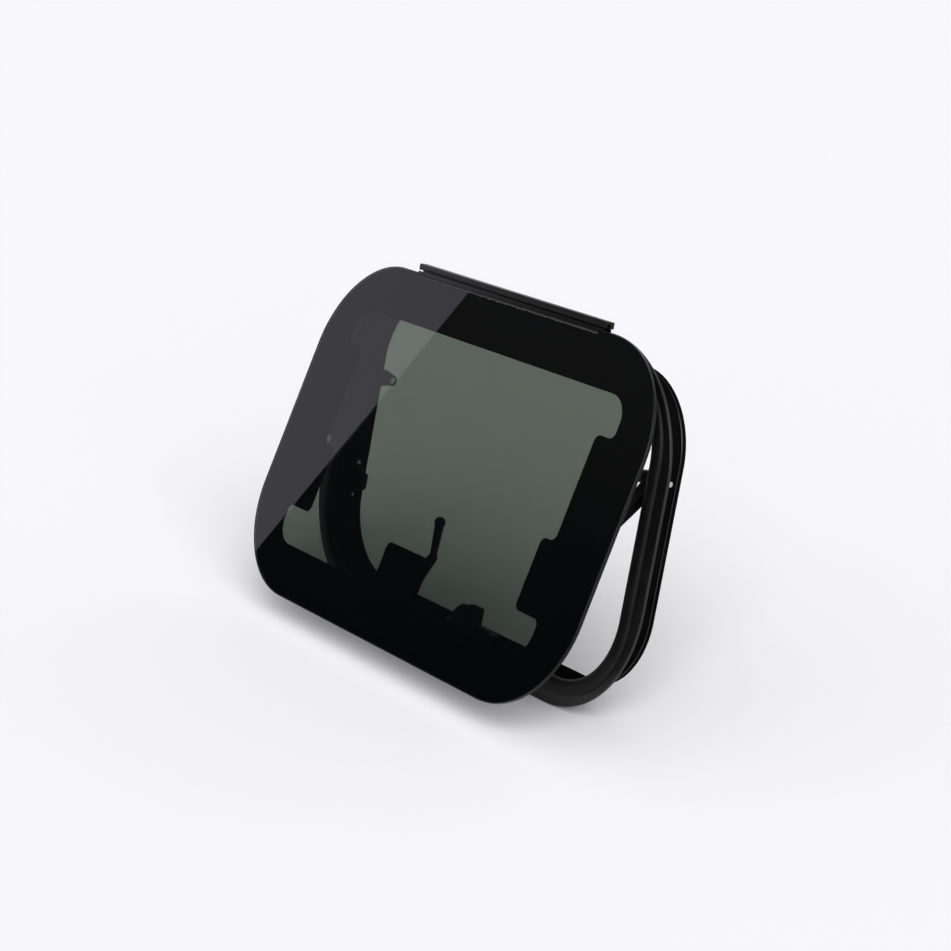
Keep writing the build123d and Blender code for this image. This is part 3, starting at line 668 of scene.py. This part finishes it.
@dataclass
class Studio:
    """Pale table, white wing at the left, soft light and the camera of the photograph."""

    lean_deg: float = 12.355            # the window leans back by this much on its table
    table_drop_m: float = 0.1690        # from the frame's middle, square to the table
    table_size_m: float = 40.0
    paper: str = "f4f3f6"
    azimuth_deg: float = 53.984
    elevation_deg: float = 8.923
    distance_m: float = 2.733
    aim_m: tuple[float, float, float] = (-0.0039, -0.0064, 0.0027)
    lens_mm: float = 108.1
    sensor_mm: float = 36.0
    key_azimuth_deg: float = 57.0
    key_elevation_deg: float = 28.0
    key_energy: float = 2.8
    key_spread_deg: float = 50.0
    ambient: float = 0.54
    backdrop_span: tuple[float, float] = (-0.1, 0.35)   # Y of a direction, where the pale backdrop fades in
    front_span: tuple[float, float] = (0.11, 0.18)      # Z of a direction, from the dark front's low part up
    front_strength: tuple[float, float] = (0.046, 0.09)
    cool_span: tuple[float, float] = (0.0, 0.15)        # Z of a direction, where the cool tone fades out
    cool_tone: str = "86b4e0"
    mirrored_tone: str = "f4f7ff"
    wing_corner_m: tuple[float, float, float] = (-1.2011, -0.9254, 0.1727)
    wing_along: tuple[float, float, float] = (-0.58478, 0.81119, 0.0)
    wing_rise: tuple[float, float, float] = (0.09543, 0.06879, 0.99306)
    wing_outline_m: tuple[tuple[float, float], ...] = ((0.272, -1.0), (2.2, -1.0), (2.2, 1.5), (-0.048, 1.5))
    wing_tone: str = "f6f2ff"
    wing_strength: float = 0.65

    def up(self) -> Vector:
        """The table's upright, in the window's axes."""
        lean = math.radians(self.lean_deg)
        return Vector((0, -math.sin(lean), math.cos(lean)))

    @staticmethod
    def direction(azimuth_deg: float, elevation_deg: float) -> Vector:
        """Point towards a place in the studio.

        Args:
            azimuth_deg: Turn from straight in front of the window towards its right.
            elevation_deg: Rise above the level of its middle.

        Returns:
            A unit vector.
        """
        azimuth, elevation = math.radians(azimuth_deg), math.radians(elevation_deg)
        level = math.cos(elevation)
        return Vector((math.sin(azimuth) * level, -math.cos(azimuth) * level, math.sin(elevation)))

    def build_camera(self) -> None:
        """Stand the camera where the photograph was taken, level with the table."""
        back = self.direction(self.azimuth_deg, self.elevation_deg)
        right = self.up().cross(back).normalized()
        above = back.cross(right)
        turn = Matrix((right, above, back)).transposed().to_4x4()
        lens = bpy.data.cameras.new("photo_camera")
        lens.lens = self.lens_mm
        lens.sensor_width = self.sensor_mm
        camera = bpy.data.objects.new("photo_camera", lens)
        camera.matrix_world = Matrix.Translation(Vector(self.aim_m) + back * self.distance_m) @ turn
        bpy.context.scene.collection.objects.link(camera)
        bpy.context.scene.camera = camera

    def build_table(self) -> None:
        """Lay the pale paper under the window."""
        mesh = bpy.data.meshes.new("table_paper")
        shape = bmesh.new()
        bmesh.ops.create_grid(shape, x_segments=1, y_segments=1, size=self.table_size_m / 2)
        turn = self.up().to_track_quat("Z", "Y").to_matrix().to_4x4()
        laid = Matrix.Translation(-self.up() * self.table_drop_m) @ turn
        bmesh.ops.transform(shape, matrix=laid, verts=shape.verts)
        shape.to_mesh(mesh)
        shape.free()
        table = bpy.data.objects.new("table_paper", mesh)
        bpy.context.scene.collection.objects.link(table)
        material, tree, output = new_material("table_paper")
        paper = add_node(tree, "ShaderNodeBsdfDiffuse", {"Color": linear(self.paper)})
        tree.links.new(paper.outputs[0], output.inputs["Surface"])
        mesh.materials.append(material)

    @staticmethod
    def fade(tree: bpy.types.NodeTree, value: bpy.types.NodeSocket, span: tuple[float, float],
             levels: tuple[float, float] = (0.0, 1.0)) -> bpy.types.NodeSocket:
        """Fade from one level to another over a span of a value.

        Args:
            tree: Node tree of the world.
            value: Socket of the value.
            span: Where the fade starts and ends.
            levels: What it starts and ends at.

        Returns:
            The socket of the level.
        """
        node = add_node(tree, "ShaderNodeMapRange", {
            "Value": value, "From Min": span[0], "From Max": span[1],
            "To Min": levels[0], "To Max": levels[1]})
        return node.outputs["Result"]

    def build_world(self) -> None:
        """Pale behind the window, dark and low down cool in front, with an even light on matt surfaces."""
        world = bpy.data.worlds.new("studio")
        world.use_nodes = True
        tree = world.node_tree
        tree.nodes.clear()
        path = add_node(tree, "ShaderNodeLightPath")
        shown = add_node(tree, "ShaderNodeMath", {
            0: path.outputs["Is Glossy Ray"], 1: path.outputs["Is Transmission Ray"]}, operation="MAXIMUM")
        place = add_node(tree, "ShaderNodeTexCoord")
        axes = add_node(tree, "ShaderNodeSeparateXYZ", {0: place.outputs["Generated"]})
        behind = self.fade(tree, axes.outputs["Y"], self.backdrop_span)
        front = self.fade(tree, axes.outputs["Z"], self.front_span, self.front_strength)
        height = self.fade(tree, axes.outputs["Z"], self.cool_span)
        strength = add_node(tree, "ShaderNodeMath", {0: behind, 1: front}, operation="MAXIMUM")
        lit = add_node(tree, "ShaderNodeMath", {0: height, 1: behind}, operation="MAXIMUM")
        hue = add_node(tree, "ShaderNodeMix", {
            0: lit.outputs[0], 6: linear(self.cool_tone), 7: linear(self.mirrored_tone)}, data_type="RGBA")
        pale = add_node(tree, "ShaderNodeBackground", {"Color": linear(self.paper), "Strength": 1.0})
        even = add_node(tree, "ShaderNodeBackground", {"Color": linear("ffffff"), "Strength": self.ambient})
        mirrored = add_node(tree, "ShaderNodeBackground", {
            "Color": hue.outputs[2], "Strength": strength.outputs[0]})
        unseen = add_node(tree, "ShaderNodeMixShader", {
            0: shown.outputs[0], 1: even.outputs[0], 2: mirrored.outputs[0]})
        both = add_node(tree, "ShaderNodeMixShader", {
            0: path.outputs["Is Camera Ray"], 1: unseen.outputs[0], 2: pale.outputs[0]})
        output = add_node(tree, "ShaderNodeOutputWorld", {"Surface": both.outputs[0]})
        output.is_active_output = True
        bpy.context.scene.world = world

    def build_lights(self) -> None:
        """One broad light from the front and right, so that the window's shadow falls behind it."""
        light = bpy.data.lights.new("key_light", "SUN")
        light.energy = self.key_energy
        light.angle = math.radians(self.key_spread_deg)
        lamp = bpy.data.objects.new("key_light", light)
        towards = self.direction(self.key_azimuth_deg, self.key_elevation_deg)
        lamp.matrix_world = towards.to_track_quat("Z", "Y").to_matrix().to_4x4()
        bpy.context.scene.collection.objects.link(lamp)

    def build_wing(self) -> None:
        """White wing at the left, whose front edge shows in the glass."""
        mesh = bpy.data.meshes.new("white_wing")
        shape = bmesh.new()
        corner, along, rise = Vector(self.wing_corner_m), Vector(self.wing_along), Vector(self.wing_rise)
        shape.faces.new([shape.verts.new(corner + along * u + rise * w) for u, w in self.wing_outline_m])
        shape.to_mesh(mesh)
        shape.free()
        wing = bpy.data.objects.new("white_wing", mesh)
        bpy.context.scene.collection.objects.link(wing)
        material, tree, output = new_material("white_wing")
        glow = add_node(tree, "ShaderNodeEmission", {
            "Color": linear(self.wing_tone), "Strength": self.wing_strength})
        tree.links.new(glow.outputs[0], output.inputs["Surface"])
        mesh.materials.append(material)
        wing.visible_camera = False
        wing.visible_diffuse = False
        wing.visible_shadow = False

    def build(self) -> None:
        """Build the whole studio."""
        self.build_camera()
        self.build_table()
        self.build_world()
        self.build_lights()
        self.build_wing()
        bpy.context.scene.view_settings.view_transform = "Standard"


def main() -> None:
    """Dress the window and build its studio."""
    logging.basicConfig(level=logging.INFO, format="%(name)s: %(message)s")
    assemblies = [GlazedSash(), BentFrame(), BeadHinge(), TurnLatch()]
    assemblies += [SlottedStay(side, sign) for side, sign in SIDES]
    assemblies += [JambLug(side, sign) for side, sign in SIDES]
    for assembly in assemblies:
        assembly.build()
    Studio().build()


if __name__ == "__main__":
    main()
